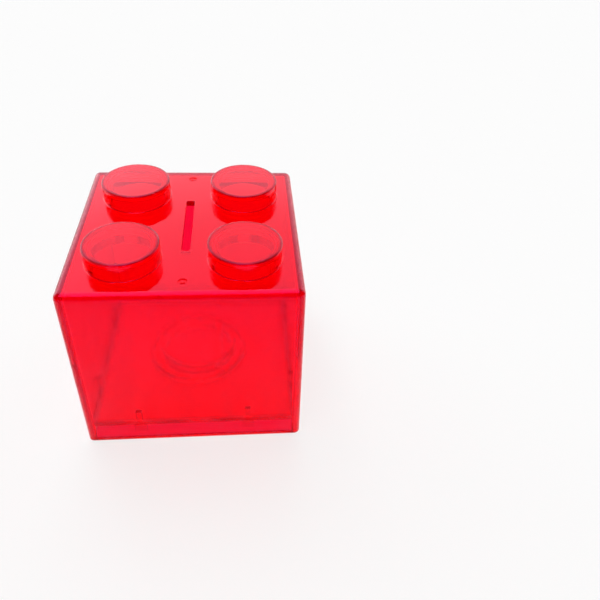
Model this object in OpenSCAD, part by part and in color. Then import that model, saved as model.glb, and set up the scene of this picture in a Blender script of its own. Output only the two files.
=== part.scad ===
// Donation box in the form of a building block, moulded in clear coloured plastic.
// The box is a hollow shell with four studs and a coin slot in its roof. A plate snaps
// in above the rim of the shell, and a stopper with a grip bar closes the hole in the plate.
// Millimetres. +Z is up, and the origin is the centre of the rim that the box stands on.

/* [Body] */
// Width and depth of the body at its rim
body_w = 80; // [70:1:120]
// Height of the body up to its roof, without the studs
body_h = 70.5; // [50:0.5:110]
// How far each wall leans inwards between the rim and the roof
wall_lean = 1; // [0.4:0.1:2]
// Thickness of the walls
wall_t = 2.2; // [1.6:0.1:3]
// Thickness of the roof
roof_t = 2.2; // [1.6:0.1:3]
// Radius of the upright corners and of the roof's edges
edge_r = 2.3; // [1.5:0.1:4]
// Radius of the corners inside the body
inner_r = 1.2; // [0.5:0.1:1.5]

/* [Studs] */
// Distance between the centres of neighbouring studs
stud_pitch = 40; // [34:0.5:44]
// Diameter of a stud
stud_d = 24.8; // [18:0.1:28]
// Height of a stud above the roof
stud_h = 6.5; // [4:0.1:8]
// Thickness of a stud's wall
stud_wall_t = 1.9; // [1.2:0.1:2.5]
// Thickness of a stud's top
stud_top_t = 2; // [1.2:0.1:2.5]
// Radius of the edge round a stud's top
stud_edge_r = 0.6; // [0.3:0.1:1]
// Radius of the corner inside a stud's top
stud_inner_r = 1; // [0.3:0.1:1.5]
// Radius of the fillet round a stud's foot
stud_foot_r = 0.5; // [0.3:0.1:1]

/* [Coin slot] */
// Length of the coin slot
slot_l = 31.5; // [24:0.5:36]
// Width of the coin slot
slot_w = 3.1; // [2.4:0.1:5]
// Radius of the corners of the coin slot
slot_corner_r = 0.6; // [0.3:0.1:1.1]
// Distance from the outside of the wall to the middle of a gate mark on the roof
gate_inset = 6.9; // [5:0.1:8]
// Diameter of the round dimple of a gate mark
gate_d = 2.9; // [2:0.1:4]
// Depth of the dimple
gate_depth = 0.5; // [0.3:0.1:0.8]
// Diameter of the stub left by the gate in the middle of its dimple
gate_stub_d = 1.5; // [0.8:0.1:1.7]
// How far the stub's end lies below the roof
gate_stub_drop = 0.1; // [0.05:0.05:0.2]

/* [Base plate] */
// Height of the space under the base plate
recess_h = 7; // [6:0.1:10]
// Thickness of the base plate
plate_t = 2; // [1.5:0.1:3]
// Gap between the edge of the base plate and the walls
plate_gap = 0.15; // [0.1:0.05:0.3]
// Gap above and below the base plate, to its stops and catches
seat_gap = 0.05; // [0.02:0.01:0.1]
// Width of a stop rib above the plate
stop_w = 2; // [1.5:0.1:3]
// Height of a stop rib above the plate
stop_h = 5; // [3:0.5:8]
// How far a stop rib stands out of the wall
stop_depth = 1.2; // [0.8:0.1:2]
// Width of a catch below the plate
catch_w = 4.6; // [3:0.1:6]
// Height of a catch
catch_h = 4.4; // [3:0.1:5]
// How far a catch stands out of the wall at its top
catch_depth = 0.9; // [0.5:0.1:1.2]

/* [Stopper] */
// Diameter of the stopper's hole in the base plate
hole_d = 31; // [24:0.5:34]
// Radial clearance between the stopper's bead and its hole
bead_clearance = 0.05; // [0.02:0.01:0.1]
// How far the bead stands out of the stopper's barrel
bead_depth = 0.3; // [0.2:0.05:0.5]
// Radius of the bead's round crest
bead_r = 0.6; // [0.4:0.1:0.8]
// How far the stopper's flange reaches past the hole
flange_lip = 2.4; // [1.5:0.1:3]
// Thickness of the stopper's flange
flange_t = 1.8; // [1.2:0.1:2.5]
// Gap round the flange in its seat
flange_gap = 0.2; // [0.1:0.05:0.4]
// Thickness of the collar round the hole
collar_t = 2; // [1.5:0.1:3]
// Wall of the collar round the flange's seat
collar_wall = 1.5; // [1.2:0.1:2.5]
// Height of the stopper's barrel above the flange
barrel_h = 4.7; // [3.5:0.1:6]
// Thickness of the stopper's barrel and end
barrel_t = 1.6; // [1.2:0.1:2]
// Thickness of the grip bar across the stopper
bar_t = 2.6; // [2:0.1:4]
// Distance from the stopper's middle to the middle of the grip bar, which leaves a
// fingertip's room on its other side
bar_offset = 8.2; // [0:0.1:9]
// Radius of the outer edges of the collar, the flange and the barrel
trim_r = 0.5; // [0.3:0.1:0.6]

/* [Hidden] */
$fn = 96;
// Depth by which shapes run into or past each other where they are joined or cut
bite = 1;
// Step in radius from a rounded roof edge to a corner rod, and from that to a corner ball,
// so that no two of their surfaces graze each other
blend_step = 0.01;
// Angle by which the walls lean from upright
lean_a = atan(wall_lean / body_h);
// Distance from the box's middle to each gate mark
gate_y = width_at(body_w, body_h) / 2 - gate_inset;
// Width inside the walls at the rim
inner_w = body_w - 2 * wall_t / cos(lean_a);
// Height of the plate's upper face
plate_top = recess_h + plate_t;
// Width of the plate, which fits between the walls at its upper face
plate_w = width_at(inner_w, plate_top) - 2 * plate_gap;
// Radii of the stopper's hole, barrel, flange and flange seat, and of the collar
hole_r = hole_d / 2;
barrel_r = hole_r - bead_clearance - bead_depth;
flange_r = hole_r + flange_lip;
seat_r = flange_r + flange_gap;
collar_r = seat_r + collar_wall;
// Height of the flange's seat, which lies under the collar
seat_top = recess_h + flange_t + flange_gap;
collar_top = seat_top + collar_t;
// Heights of the stopper's flange and of its closed end
flange_top = recess_h + flange_t;
barrel_top = flange_top + barrel_h;
clear_red = [0.93, 0.03, 0.1, 0.75];

// Width between two facing walls that is w at the rim, at height z
function width_at(w, z) = w - 2 * z * tan(lean_a);

// Block with leaning walls that is w wide at z = 0 and h high. Its roof edges and upright
// corners have radius r, and it runs down past z = 0 by the depth below.
module leaning_block(w, h, r, below) {
    ball_z = h - r;
    ball_x = width_at(w, ball_z) / 2 - r / cos(lean_a);
    rod_a = atan(sqrt(2) * tan(lean_a));
    intersection() {
        union() {
            for (turn = [0, 90])
                rotate(turn)
                    crossed_prism(w, h, r, below, ball_x, ball_z);
            for (turn = [0 : 90 : 270])
                rotate(turn)
                    translate([ball_x, ball_x, ball_z]) {
                        rotate(225)
                            sphere(r - 2 * blend_step);
                        rotate([0, -rod_a, 45])
                            translate([0, 0, -2 * h])
                                cylinder(r = r - blend_step, h = 2 * h);
                    }
        }
        translate([-w, -w, -below])
            cube([2 * w, 2 * w, 2 * h]);
    }
}

// The part of a leaning block that lies between the corner rods along Y. Its section
// across Y has the two roof edges, rounded about the centres at ball_x and ball_z.
module crossed_prism(w, h, r, below, ball_x, ball_z) {
    foot = width_at(w, -below) / 2;
    rod = r / cos(lean_a);
    intersection() {
        rotate([90, 0, 0])
            linear_extrude(height = 2 * w, center = true) {
                polygon([
                    [-foot, -below], [foot, -below],
                    [ball_x + r * cos(lean_a), ball_z + r * sin(lean_a)], [ball_x, h],
                    [-ball_x, h], [-ball_x - r * cos(lean_a), ball_z + r * sin(lean_a)]
                ]);
                for (side = [-1, 1])
                    translate([side * ball_x, ball_z])
                        circle(r);
            }
        rotate([90, 0, 90])
            linear_extrude(height = 2 * w, center = true)
                polygon([
                    [-foot + rod, -below], [foot - rod, -below],
                    [width_at(w, h) / 2 - rod, h], [-width_at(w, h) / 2 + rod, h]
                ]);
    }
}

// Upright slab with a rectangular outline and round corners, from z = 0 up
module round_slab(length, width, height, r) {
    linear_extrude(height = height) {
        square([length - 2 * r, width], center = true);
        square([length, width - 2 * r], center = true);
        for (x = [-1, 1], y = [-1, 1])
            translate([x * (length / 2 - r), y * (width / 2 - r)])
                circle(r);
    }
}

// Solid disc of radius r and height h with its upper edge rounded
module soft_disc(r, h, soft_r) {
    rotate_extrude() {
        square([r - soft_r, h]);
        square([r, h - soft_r]);
        translate([r - soft_r, h - soft_r])
            circle(soft_r);
    }
}

// Places a copy at each of the four stud centres
module at_studs() {
    for (x = [-1, 1], y = [-1, 1])
        translate([x * stud_pitch / 2, y * stud_pitch / 2])
            children();
}

// Outside of one stud, with its foot on z = 0 and its fillet spreading over the roof
module stud() {
    translate([0, 0, -bite])
        soft_disc(stud_d / 2, stud_h + bite, stud_edge_r);
    rotate_extrude()
        difference() {
            translate([stud_d / 2 - bite, -bite])
                square([bite + stud_foot_r, bite + stud_foot_r]);
            translate([stud_d / 2 + stud_foot_r, stud_foot_r])
                circle(stud_foot_r);
        }
}

// One pair of stop rib and catch, on the wall that faces -Y, centred on x = 0.
// The catch is a wedge that the plate is pushed over from below.
module plate_holder() {
    stop_z = plate_top + seat_gap;
    catch_top = recess_h - seat_gap;
    catch_foot = catch_top - catch_h;
    stop_wall = width_at(inner_w, stop_z + stop_h) / 2;
    catch_wall = width_at(inner_w, catch_top) / 2;
    translate([-stop_w / 2, -stop_wall - bite, stop_z])
        cube([stop_w, bite + stop_depth, stop_h]);
    rotate([90, 0, 90])
        linear_extrude(height = catch_w, center = true)
            polygon([
                [-catch_wall - bite, catch_foot], [-width_at(inner_w, catch_foot) / 2, catch_foot],
                [-catch_wall + catch_depth, catch_top - bite / 2],
                [-catch_wall + catch_depth, catch_top], [-catch_wall - bite, catch_top]
            ]);
}

// Round dimple of a gate mark with its floor on z = 0, round the stub that is left standing
module gate_dimple() {
    difference() {
        cylinder(d = gate_d, h = gate_depth + bite);
        translate([0, 0, -bite])
            cylinder(d = gate_stub_d, h = bite + gate_depth - gate_stub_drop);
    }
}

module body_shell() {
    color(clear_red) {
        difference() {
            union() {
                leaning_block(body_w, body_h, edge_r, 0);
                translate([0, 0, body_h])
                    at_studs() stud();
            }
            leaning_block(inner_w, body_h - roof_t, inner_r, bite);
            translate([0, 0, body_h - roof_t - bite])
                at_studs()
                    soft_disc(stud_d / 2 - stud_wall_t, stud_h + roof_t + bite - stud_top_t, stud_inner_r);
            translate([0, 0, body_h - roof_t - bite])
                round_slab(slot_w, slot_l, roof_t + 2 * bite, slot_corner_r);
            for (side = [-1, 1])
                translate([0, side * gate_y, body_h - gate_depth])
                    gate_dimple();
        }
        for (turn = [0 : 90 : 270], side = [-1, 1])
            rotate(turn)
                translate([side * stud_pitch / 2, 0])
                    plate_holder();
    }
}

module base_plate() {
    color(clear_red)
        difference() {
            translate([0, 0, recess_h]) {
                round_slab(plate_w, plate_w, plate_t, inner_r);
                soft_disc(collar_r, collar_top - recess_h, trim_r);
            }
            translate([0, 0, recess_h - bite])
                cylinder(r = seat_r, h = seat_top - recess_h + bite);
            translate([0, 0, recess_h])
                cylinder(r = hole_r, h = collar_top - recess_h + bite);
        }
}

// The stopper's outside: its flange, its barrel and the bead that grips the collar
module stopper_outside() {
    translate([0, 0, recess_h])
        soft_disc(flange_r, flange_t, trim_r);
    translate([0, 0, recess_h])
        soft_disc(barrel_r, barrel_top - recess_h, trim_r);
    translate([0, 0, seat_top + collar_t / 2])
        rotate_extrude()
            translate([barrel_r + bead_depth - bead_r, 0])
                circle(bead_r);
}

module stopper() {
    cup_r = barrel_r - barrel_t;
    cup_h = barrel_top - barrel_t - recess_h;
    color(clear_red) {
        difference() {
            stopper_outside();
            translate([0, 0, recess_h - bite])
                cylinder(r = cup_r, h = cup_h + bite);
        }
        translate([0, 0, recess_h])
            intersection() {
                cylinder(r = cup_r + barrel_t / 2, h = cup_h + barrel_t / 2);
                translate([bar_offset - bar_t / 2, -barrel_r, 0])
                    cube([bar_t, 2 * barrel_r, barrel_h + flange_t]);
            }
    }
}

body_shell();
base_plate();
stopper();
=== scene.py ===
"""Looks and setting of a donation box in the form of a building block.

The box is clear red moulded plastic. It stands on a white table that runs on into a white backdrop.
"""

import math

import bpy
from mathutils import Matrix, Vector

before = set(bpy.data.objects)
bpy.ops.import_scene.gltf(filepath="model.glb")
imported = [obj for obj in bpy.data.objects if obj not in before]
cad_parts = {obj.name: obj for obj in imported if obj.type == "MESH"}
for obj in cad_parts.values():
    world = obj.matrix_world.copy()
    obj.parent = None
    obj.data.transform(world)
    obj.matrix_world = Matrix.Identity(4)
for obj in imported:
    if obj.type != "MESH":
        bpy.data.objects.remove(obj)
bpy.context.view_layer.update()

MM = 0.001
WHITE = (1, 1, 1, 1)

# ---------------------------------------------------------------------------
# Driving values: view
# ---------------------------------------------------------------------------
# Camera: its place, the way it looks, its lens and sensor in millimetres, and how near it sees
CAMERA_PLACE = Vector((0.01924, -0.17991, 0.19068))
CAMERA_DOWN = math.radians(40.876)
CAMERA_RIGHT = math.radians(7.166)
CAMERA_ROLL = math.radians(3.720)
LENS = 35.60
SENSOR_WIDTH = 36.0
CLIP_START = 10 * MM

# Number of times that light may pass or bounce inside the clear walls
BOUNCES = 128

# ---------------------------------------------------------------------------
# Driving values: plastic
# ---------------------------------------------------------------------------
# Colour, how strongly it drinks light, refractive index, and the colour of its shine
TINT = (1.0, 0.0, 0.42)
TINT_DENSITY = 2400.0
PLASTIC_IOR = 1.57
SHINE_TINT = (1.0, 0.06, 0.52)

# Roughness where the mould is polished and where its core is satin, and the size of the
# patches in which handling makes it less or more
POLISHED = 0.02
MOULD_SATIN = 0.13
HANDLED_SIZE = 24 * MM
HANDLED_RANGE = (0.6, 1.5)

# Flow ripple and satin grain: their sizes and depths
RIPPLE_SIZE = 11 * MM
RIPPLE_DEPTH = 0.012 * MM
GRAIN_SIZE = 0.25 * MM
GRAIN_DEPTH = 0.0012 * MM

# Hairline scratches: length, spacing, directions, share of the spacing that a line takes up,
# added roughness, and the patches that they keep to
SCRATCH_LENGTH = 9 * MM
SCRATCH_SPACING = 1.44 * MM
SCRATCH_TURNS = ((0.3, 0.2, 0.5), (-0.5, 0.4, 1.9), (0.9, -0.3, 2.8))
SCRATCH_FINENESS = 0.012
SCRATCH_ROUGHNESS = 0.12
SCRATCH_PATCH = 18 * MM
SCRATCH_PATCH_SPAN = (0.52, 0.66)

# Dust: spacing, radius of a speck and of its solid core, share of the places with no speck,
# and added roughness
DUST_SPACING = 2.4 * MM
DUST_SIZE = 0.11 * MM
DUST_CORE = 0.4 * DUST_SIZE
DUST_FREE = 0.55
DUST_ROUGHNESS = 0.3

# ---------------------------------------------------------------------------
# Driving values: pieces
# ---------------------------------------------------------------------------
# Shell: half width at the rim, height of the roof, lean of each wall, thickness of walls and
# roof, and how far from the middle the round back edge of the roof starts
RIM_HALF = 40 * MM
ROOF = 70.5 * MM
LEAN = 1 / 70.5
WALL = 2.2 * MM
ROOF_EDGE = 36.7 * MM
# Ribs and catches: distance from a wall's inner face beyond which a place is on one of them,
# and a height that is above them all
RIB_OFF_WALL = 0.15 * MM
RIB_TOP = 15 * MM
# Studs: distance of their centres from the middle planes, radius and top
STUD_PLACE = 20 * MM
STUD_RADIUS = 12.4 * MM
STUD_TOP = 77 * MM
# Coin slot: half length, half width, and the slack with which its faces are picked out
SLOT_HALF_LENGTH = 15.75 * MM
SLOT_HALF_WIDTH = 1.55 * MM
SLOT_SLACK = 0.1 * MM
# Base plate: half width
PLATE_HALF = 37.52 * MM

# Edges darkened with painted shade and rubbed: how dark the painted shade makes the plastic, and
# how much rougher the rubbing makes it
PAINTED_SHADE_GREY = 0.1
RUBBED_ROUGHNESS = 0.12
# Size of the uneven patches round the studs, and how much less or more painted shade and rubbing
# they get
SHADE_AND_RUB_PATCH = 5 * MM
SHADE_AND_RUB_RANGE = (0.6, 1.3)
# How strongly each other edge gets painted shade and rubbing
FOOT_SHADE_AND_RUB = 0.85
SLOT_SHADE_AND_RUB = 0.75
ROOF_SHADE_AND_RUB = 0.5
RIB_SHADE_AND_RUB = 0.12
PLATE_SHADE_AND_RUB = 0.38
# Spans over which the painted shade and rubbing come in or fade: out to and up to a stud's edge, up
# the foot, out to the slot's ends, out to and up to the roof's back edge, and out to the plate's
# edge
STUD_RIM_SPAN = (STUD_RADIUS - 1.6 * MM, STUD_RADIUS - 0.3 * MM)
STUD_TOP_SPAN = (STUD_TOP - 0.6 * MM, STUD_TOP - 0.15 * MM)
FOOT_SPAN = (0.2 * MM, 1.0 * MM)
SLOT_END_SPAN = (SLOT_HALF_LENGTH - 0.6 * MM, SLOT_HALF_LENGTH - 0.1 * MM)
ROOF_BACK_SPAN = (ROOF_EDGE - 0.6 * MM, ROOF_EDGE + 0.2 * MM)
ROOF_TOP_SPAN = (ROOF - 0.5 * MM, ROOF - 0.25 * MM)
PLATE_SPAN = (PLATE_HALF - 1.8 * MM, PLATE_HALF - 0.1 * MM)

# ---------------------------------------------------------------------------
# Driving values: setting
# ---------------------------------------------------------------------------
# Table: width in metres, gap under the box, colour, and the share of it that glows by itself
TABLE_SIZE = 6.0
TABLE_GAP = 0.02 * MM
TABLE_COLOUR = (0.95, 0.95, 0.95, 1)
TABLE_GLOW = 0.7

# Room: brightness of the back wall low down and higher up, how many times brighter it is on
# the left, and brightness of the camera's side and of the ceiling
SKY_LOW = 1.68
SKY_MIDDLE = 1.2
SKY_LEFT = 1.4
SKY_FRONT = 0.1
SKY_HIGH = 0.12
# Spans of direction, from -1 to 1 along an axis, over which these parts blend
MIDDLE_SPAN = (0.46, 0.57)
LEFT_SPAN = (-0.35, -0.05)
BACK_SPAN = (0.0, 0.55)
CEILING_SPAN = (0.66, 0.72)
# Overhead lamp: middle and half size across and along, soft edge, span in which it starts
# above the table, and brightness
LAMP_MIDDLE = (-0.1, 0.1)
LAMP_HALF_SIZE = (0.25, 0.6)
LAMP_EDGE = 0.04
LAMP_RISE_SPAN = (0.1, 0.2)
LAMP_LEVEL = 2.56
# Brightness of the room where it is seen through the plastic
SKY_SEEN_THROUGH = 0.8


def set_view():
    """Plain display of colours, and light paths long enough for the inside of clear walls."""
    scene = bpy.context.scene
    scene.view_settings.view_transform = "Standard"
    scene.cycles.blur_glossy = 0.0
    scene.cycles.max_bounces = BOUNCES
    scene.cycles.glossy_bounces = BOUNCES
    scene.cycles.transmission_bounces = BOUNCES


def make_camera():
    """Camera that looks down on the box from in front of it."""
    data = bpy.data.cameras.new("camera")
    data.lens = LENS
    data.sensor_width = SENSOR_WIDTH
    data.clip_start = CLIP_START
    camera = bpy.data.objects.new("camera", data)
    bpy.context.scene.collection.objects.link(camera)
    level = math.cos(CAMERA_DOWN)
    across = math.sin(CAMERA_RIGHT) * level
    along = math.cos(CAMERA_RIGHT) * level
    forward = Vector((across, along, -math.sin(CAMERA_DOWN)))
    right = forward.cross(Vector((0, 0, 1))).normalized()
    up = right.cross(forward)
    rolled_right = math.cos(CAMERA_ROLL) * right + math.sin(CAMERA_ROLL) * up
    rolled_up = math.cos(CAMERA_ROLL) * up - math.sin(CAMERA_ROLL) * right
    turn = Matrix((rolled_right, rolled_up, -forward)).transposed().to_4x4()
    camera.matrix_world = Matrix.Translation(CAMERA_PLACE) @ turn
    bpy.context.scene.camera = camera


# ---------------------------------------------------------------------------
# Node helpers
# ---------------------------------------------------------------------------
class Sheet:
    """A node tree with short ways to add nodes and links."""

    def __init__(self, tree):
        self.tree = tree

    def add(self, kind, **settings):
        """Adds a node and sets its properties."""
        node = self.tree.nodes.new("ShaderNode" + kind)
        for name, value in settings.items():
            setattr(node, name, value)
        return node

    def put(self, socket, value):
        """Feeds a socket from another socket, or gives it a constant."""
        if isinstance(value, bpy.types.NodeSocket):
            self.tree.links.new(value, socket)
        else:
            socket.default_value = value

    def feed(self, node, values):
        """Feeds a node's sockets by their names."""
        for name, value in values.items():
            self.put(node.inputs[name], value)

    def math(self, operation, *values, clamp=False):
        """Result of a calculation on one to three values."""
        node = self.add("Math", operation=operation, use_clamp=clamp)
        for socket, value in zip(node.inputs, values):
            self.put(socket, value)
        return node.outputs[0]

    def fold(self, operation, first, *others):
        """Result of a calculation that takes in one value after another."""
        for other in others:
            first = self.math(operation, first, other)
        return first

    def step(self, value, low, high, to_low=0.0, to_high=1.0):
        """Smooth step of a value from one level to another."""
        node = self.add("MapRange", interpolation_type="SMOOTHSTEP")
        self.feed(node, {"Value": value, "From Min": low, "From Max": high})
        self.feed(node, {"To Min": to_low, "To Max": to_high})
        return node.outputs["Result"]

    def mix(self, share, first, second):
        """Value that goes from the first to the second as the share goes from 0 to 1."""
        node = self.add("MapRange")
        self.feed(node, {"Value": share, "To Min": first, "To Max": second})
        return node.outputs["Result"]

    def mix_shaders(self, share, first, second):
        """Shader that goes from the first to the second as the share goes from 0 to 1."""
        node = self.add("MixShader")
        for socket, value in zip(node.inputs, (share, first, second)):
            self.put(socket, value)
        return node.outputs[0]

    def noise(self, vector, scale, detail):
        """Smooth noise from 0 to 1 on a vector."""
        node = self.add("TexNoise")
        self.feed(node, {"Vector": vector, "Scale": scale, "Detail": detail})
        return node.outputs["Fac"]

    def place(self):
        """Place on the piece."""
        return self.add("TexCoord").outputs["Object"]

    def split(self, vector):
        """The three parts of a vector."""
        node = self.add("SeparateXYZ")
        self.put(node.inputs[0], vector)
        return node.outputs


def new_material(name):
    """Empty material with its sheet and its output node."""
    material = bpy.data.materials.new(name)
    material.use_nodes = True
    material.node_tree.nodes.clear()
    sheet = Sheet(material.node_tree)
    return material, sheet, sheet.add("OutputMaterial")


def new_group(name, inputs, outputs):
    """Empty shader group of numbers, with its sheet, its input sockets and its output sockets."""
    tree = bpy.data.node_groups.new(name, "ShaderNodeTree")
    for label in inputs:
        tree.interface.new_socket(label, in_out="INPUT", socket_type="NodeSocketFloat")
    for label in outputs:
        tree.interface.new_socket(label, in_out="OUTPUT", socket_type="NodeSocketFloat")
    given = tree.nodes.new("NodeGroupInput").outputs
    out = tree.nodes.new("NodeGroupOutput").inputs
    return tree, Sheet(tree), given, out


# ---------------------------------------------------------------------------
# Plastic
# ---------------------------------------------------------------------------
def make_core_side():
    """Group that masks the shell's inner surfaces, which touch the core of the mould."""
    tree, sheet, _, out = new_group("core_side", (), ("Mask",))
    x, y, z = sheet.split(sheet.place())
    reach = sheet.math("MAXIMUM", sheet.math("ABSOLUTE", x), sheet.math("ABSOLUTE", y))
    wall_middle = sheet.math("SUBTRACT", RIM_HALF - WALL / 2, sheet.math("MULTIPLY", z, LEAN))
    inside_walls = sheet.math("LESS_THAN", reach, wall_middle)
    under_roof = sheet.math("LESS_THAN", z, ROOF - WALL / 2)
    sheet.put(out["Mask"], sheet.math("MULTIPLY", inside_walls, under_roof))
    return tree


def make_shell_edges():
    """Group that masks the shell's edges, which get painted shade in their colour and are rubbed
    rougher.

    They are the stud tops in uneven patches, the foot, the ends of the coin slot, the roof's
    back edge, and the ribs and catches inside.
    """
    tree, sheet, _, out = new_group("shell_edges", (), ("Mask",))
    place = sheet.place()
    x, y, z = sheet.split(place)
    wide = sheet.math("ABSOLUTE", x)
    deep = sheet.math("ABSOLUTE", y)

    across = sheet.math("SUBTRACT", wide, STUD_PLACE)
    along = sheet.math("SUBTRACT", deep, STUD_PLACE)
    squares = sheet.math("MULTIPLY_ADD", across, across, sheet.math("MULTIPLY", along, along))
    rim = sheet.step(sheet.math("SQRT", squares), *STUD_RIM_SPAN)
    top = sheet.step(z, *STUD_TOP_SPAN)
    uneven = sheet.mix(sheet.noise(place, 1 / SHADE_AND_RUB_PATCH, detail=1.0), *SHADE_AND_RUB_RANGE)
    studs = sheet.math("MULTIPLY", sheet.math("MULTIPLY", rim, top), uneven, clamp=True)

    foot = sheet.step(z, *FOOT_SPAN, FOOT_SHADE_AND_RUB, 0.0)

    slot_end = sheet.step(deep, *SLOT_END_SPAN, 0.0, SLOT_SHADE_AND_RUB)
    before_end = sheet.math("LESS_THAN", deep, SLOT_HALF_LENGTH + SLOT_SLACK)
    between_sides = sheet.math("LESS_THAN", wide, SLOT_HALF_WIDTH + SLOT_SLACK)
    below_roof = sheet.math("LESS_THAN", z, ROOF - SLOT_SLACK / 2)
    slot = sheet.fold("MULTIPLY", slot_end, before_end, between_sides, below_roof)

    back = sheet.step(y, *ROOF_BACK_SPAN, 0.0, ROOF_SHADE_AND_RUB)
    back = sheet.math("MULTIPLY", back, sheet.step(z, *ROOF_TOP_SPAN))

    reach = sheet.math("MULTIPLY_ADD", z, LEAN, sheet.math("MAXIMUM", wide, deep))
    off_wall = sheet.math("LESS_THAN", reach, RIM_HALF - WALL - RIB_OFF_WALL)
    low_down = sheet.math("LESS_THAN", z, RIB_TOP)
    ribs = sheet.fold("MULTIPLY", off_wall, low_down, RIB_SHADE_AND_RUB)

    # The mask sets where painted shade darkens the colour and where the skin is rubbed rougher
    sheet.put(out["Mask"], sheet.fold("MAXIMUM", studs, foot, slot, back, ribs))
    return tree


def make_plate_edges():
    """Group that masks the narrow faces all round the base plate and a strip beside them, which get
    painted shade in their colour and are rubbed rougher.
    """
    tree, sheet, _, out = new_group("plate_edges", (), ("Mask",))
    x, y, _ = sheet.split(sheet.place())
    reach = sheet.math("MAXIMUM", sheet.math("ABSOLUTE", x), sheet.math("ABSOLUTE", y))
    sheet.put(out["Mask"], sheet.step(reach, *PLATE_SPAN, 0.0, PLATE_SHADE_AND_RUB))
    return tree


def make_moulded_skin():
    """Group for the skin of moulded plastic.

    It has slow flow ripple, satin grain, hairline scratches and dust. Satin runs from 0 on a
    polished face to 1 on a satin face, and Wear scales the scratches and the dust.
    """
    inputs = ("Satin", "Wear")
    tree, sheet, given, out = new_group("moulded_skin", inputs, ("Roughness", "Height"))
    place = sheet.place()
    ripple = sheet.noise(place, 1 / RIPPLE_SIZE, detail=1.0)
    ripple = sheet.math("MULTIPLY", ripple, RIPPLE_DEPTH)
    grain = sheet.noise(place, 1 / GRAIN_SIZE, detail=0.0)
    grain = sheet.math("MULTIPLY", grain, GRAIN_DEPTH)
    sheet.put(out["Height"], sheet.math("MULTIPLY_ADD", grain, given["Satin"], ripple))

    # A scratch is the line on which long thin noise passes through its middle value
    lines = []
    for turn in SCRATCH_TURNS:
        mapping = sheet.add("Mapping", vector_type="TEXTURE")
        size = (SCRATCH_LENGTH, SCRATCH_SPACING, SCRATCH_SPACING)
        sheet.feed(mapping, {"Vector": place, "Rotation": turn, "Scale": size})
        field = sheet.noise(mapping.outputs["Vector"], 1.0, detail=0.0)
        off_line = sheet.math("ABSOLUTE", sheet.math("SUBTRACT", field, 0.5))
        lines.append(sheet.step(off_line, 0.0, SCRATCH_FINENESS, 1.0, 0.0))
    patches = sheet.noise(place, 1 / SCRATCH_PATCH, detail=0.0)
    patches = sheet.step(patches, *SCRATCH_PATCH_SPAN)
    scratches = sheet.math("MULTIPLY", sheet.fold("MAXIMUM", *lines), patches)

    cells = sheet.add("TexVoronoi", feature="F1")
    sheet.feed(cells, {"Vector": place, "Scale": 1 / DUST_SPACING})
    chosen = sheet.math("GREATER_THAN", sheet.split(cells.outputs["Color"])[0], DUST_FREE)
    core = DUST_CORE / DUST_SPACING
    edge = DUST_SIZE / DUST_SPACING
    speck = sheet.step(cells.outputs["Distance"], core, edge, 1.0, 0.0)
    dust = sheet.math("MULTIPLY", speck, chosen)

    worn = sheet.math("MULTIPLY", scratches, SCRATCH_ROUGHNESS)
    worn = sheet.math("MULTIPLY_ADD", dust, DUST_ROUGHNESS, worn)
    clean = sheet.mix(given["Satin"], POLISHED, MOULD_SATIN)
    handled = sheet.mix(sheet.noise(place, 1 / HANDLED_SIZE, detail=2.0), *HANDLED_RANGE)
    clean = sheet.math("MULTIPLY", clean, handled)
    sheet.put(out["Roughness"], sheet.math("MULTIPLY_ADD", worn, given["Wear"], clean))
    return tree


def clear_plastic(name, satin, wear, edges=None):
    """Clear coloured plastic: a refracting moulded skin round a volume that drinks light.

    Satin and wear are those of the skin, and satin is None on a piece that is satin only where
    it touched the mould's core. Edges is the group that masks the piece's edges, which get painted
    shade in their colour and rubbed roughness.
    """
    material, sheet, output = new_material(name)
    moulded = sheet.add("Group", node_tree=MOULDED_SKIN)
    if satin is None:
        satin = sheet.add("Group", node_tree=CORE_SIDE).outputs["Mask"]
    sheet.feed(moulded, {"Satin": satin, "Wear": wear})
    roughness = moulded.outputs["Roughness"]
    colour = WHITE
    if edges:
        shade_and_rub = sheet.add("Group", node_tree=edges).outputs["Mask"]
        roughness = sheet.math("MULTIPLY_ADD", shade_and_rub, RUBBED_ROUGHNESS, roughness)
        # Painted shade: the masked edges take a darker colour that stands in for shade along them
        shade_level = sheet.mix(shade_and_rub, 1.0, PAINTED_SHADE_GREY)
        shaded_colour = sheet.add("CombineColor")
        for channel in shaded_colour.inputs:
            sheet.put(channel, shade_level)
        colour = shaded_colour.outputs[0]
    bump = sheet.add("Bump")
    sheet.feed(bump, {"Distance": 1.0, "Height": moulded.outputs["Height"]})
    skin = sheet.add("BsdfPrincipled")
    sheet.feed(skin, {
        "Base Color": colour,
        "Roughness": roughness,
        "IOR": PLASTIC_IOR,
        "Normal": bump.outputs["Normal"],
        "Specular Tint": (*SHINE_TINT, 1),
        "Transmission Weight": 1.0,
    })
    depth = sheet.add("VolumeAbsorption")
    sheet.feed(depth, {"Color": (*TINT, 1), "Density": TINT_DENSITY})
    sheet.feed(output, {"Surface": skin.outputs[0], "Volume": depth.outputs[0]})
    return material


def dress(node, material):
    """Gives a CAD node its material."""
    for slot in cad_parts[node].material_slots:
        slot.material = material


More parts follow.
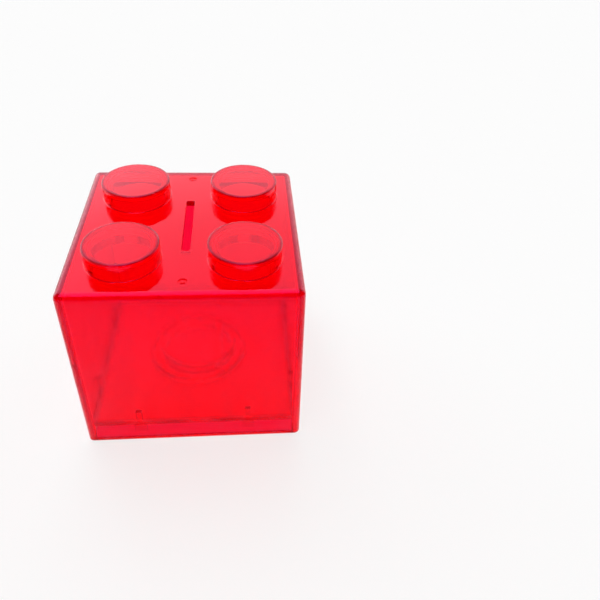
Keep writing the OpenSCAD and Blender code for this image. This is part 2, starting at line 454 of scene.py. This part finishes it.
# ---------------------------------------------------------------------------
# Setting
# ---------------------------------------------------------------------------
def make_table():
    """White table top. Seen from below it is clear, so that the underside of the box shows."""
    half = TABLE_SIZE / 2
    outline = ((-half, -half), (half, -half), (half, half), (-half, half))
    mesh = bpy.data.meshes.new("table")
    mesh.from_pydata([(x, y, -TABLE_GAP) for x, y in outline], [], [(0, 1, 2, 3)])
    table = bpy.data.objects.new("table", mesh)
    bpy.context.scene.collection.objects.link(table)
    material, sheet, output = new_material("white_table")
    paper = sheet.add("BsdfDiffuse")
    sheet.feed(paper, {"Color": TABLE_COLOUR})
    glow = sheet.add("Emission")
    sheet.feed(glow, {"Strength": 1.0})
    path = sheet.add("LightPath").outputs
    seen = sheet.math("MAXIMUM", path["Is Camera Ray"], path["Is Transmission Ray"])
    share = sheet.math("MULTIPLY", seen, TABLE_GLOW)
    top = sheet.mix_shaders(share, paper.outputs[0], glow.outputs[0])
    below = sheet.add("NewGeometry").outputs["Backfacing"]
    clear = sheet.add("BsdfTransparent").outputs[0]
    sheet.put(output.inputs["Surface"], sheet.mix_shaders(below, top, clear))
    mesh.materials.append(material)


def make_world():
    """White room, read by the direction that light comes from.

    It is bright behind the box, and dark on the camera's side and overhead, where a soft lamp
    shines. The camera itself sees plain white.
    """
    world = bpy.data.worlds.new("studio")
    bpy.context.scene.world = world
    world.use_nodes = True
    world.node_tree.nodes.clear()
    sheet = Sheet(world.node_tree)
    x, y, z = sheet.split(sheet.add("TexCoord").outputs["Generated"])
    back_wall = sheet.step(z, *MIDDLE_SPAN, SKY_LOW, SKY_MIDDLE)
    back_wall = sheet.math("MULTIPLY", back_wall, sheet.step(x, *LEFT_SPAN, SKY_LEFT, 1.0))
    walls = sheet.mix(sheet.step(y, *BACK_SPAN), SKY_FRONT, back_wall)
    room = sheet.mix(sheet.step(z, *CEILING_SPAN), walls, SKY_HIGH)
    lamp = sheet.step(z, *LAMP_RISE_SPAN)
    for part, middle, half in zip((x, y), LAMP_MIDDLE, LAMP_HALF_SIZE):
        off = sheet.math("ABSOLUTE", sheet.math("SUBTRACT", part, middle))
        lamp = sheet.math("MULTIPLY", lamp, sheet.step(off, half, half + LAMP_EDGE, 1.0, 0.0))
    light = sheet.math("MULTIPLY_ADD", lamp, LAMP_LEVEL, room)
    path = sheet.add("LightPath").outputs
    dimmed = sheet.mix(path["Is Transmission Ray"], 1.0, SKY_SEEN_THROUGH)
    level = sheet.mix(path["Is Camera Ray"], sheet.math("MULTIPLY", light, dimmed), 1.0)
    sky = sheet.add("Background")
    sheet.feed(sky, {"Color": WHITE, "Strength": level})
    output = sheet.add("OutputWorld")
    sheet.put(output.inputs["Surface"], sky.outputs[0])


set_view()
make_camera()
make_table()
make_world()
CORE_SIDE = make_core_side()
SHELL_EDGES = make_shell_edges()
PLATE_EDGES = make_plate_edges()
MOULDED_SKIN = make_moulded_skin()
dress("body_shell", clear_plastic("clear_red_shell", satin=None, wear=0.6, edges=SHELL_EDGES))
dress("base_plate", clear_plastic("clear_red_plate", satin=0.7, wear=0.5, edges=PLATE_EDGES))
dress("stopper", clear_plastic("clear_red_stopper", satin=0.6, wear=1.0))
